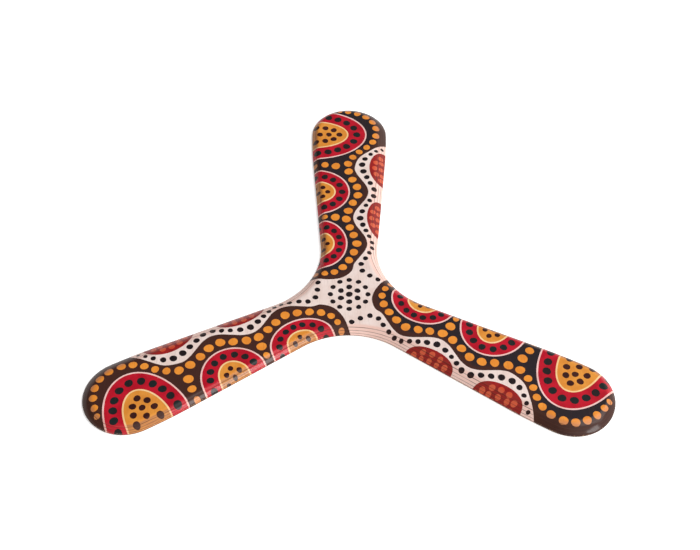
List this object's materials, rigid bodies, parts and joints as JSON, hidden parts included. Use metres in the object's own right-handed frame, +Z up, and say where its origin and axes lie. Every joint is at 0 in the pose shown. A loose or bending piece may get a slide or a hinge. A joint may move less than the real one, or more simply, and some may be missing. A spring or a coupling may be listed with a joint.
{
  "type": "boomerang",
  "caption": "Flat star-shaped returning boomerang of birch plywood with round-ended blades, a blunt leading bevel, a long trailing bevel and a painted dot-and-wave face.",
  "frame": {"origin": "centre of the hub on the flat underside", "axes": "+Z up out of the painted face, +Y along one blade from hub to tip, +X to the right across the other two blades' tips"},
  "size_m": [0.2924, 0.2597, 0.005],
  "materials": {
    "birch_long_grain": "satin varnish",
    "birch_cross_grain": "satin varnish",
    "resin_film": "cured resin, varnished",
    "painted_face": "printed paint under satin varnish"
  },
  "bodies": {
    "root": {"back_veneer": "birch_long_grain", "back_glue_film": "resin_film", "lower_cross_veneer": "birch_cross_grain", "lower_core_glue_film": "resin_film", "core_veneer": "birch_long_grain", "upper_core_glue_film": "resin_film", "upper_cross_veneer": "birch_cross_grain", "face_glue_film": "resin_film", "face_veneer": "painted_face"}
  },
  "joints": []
}
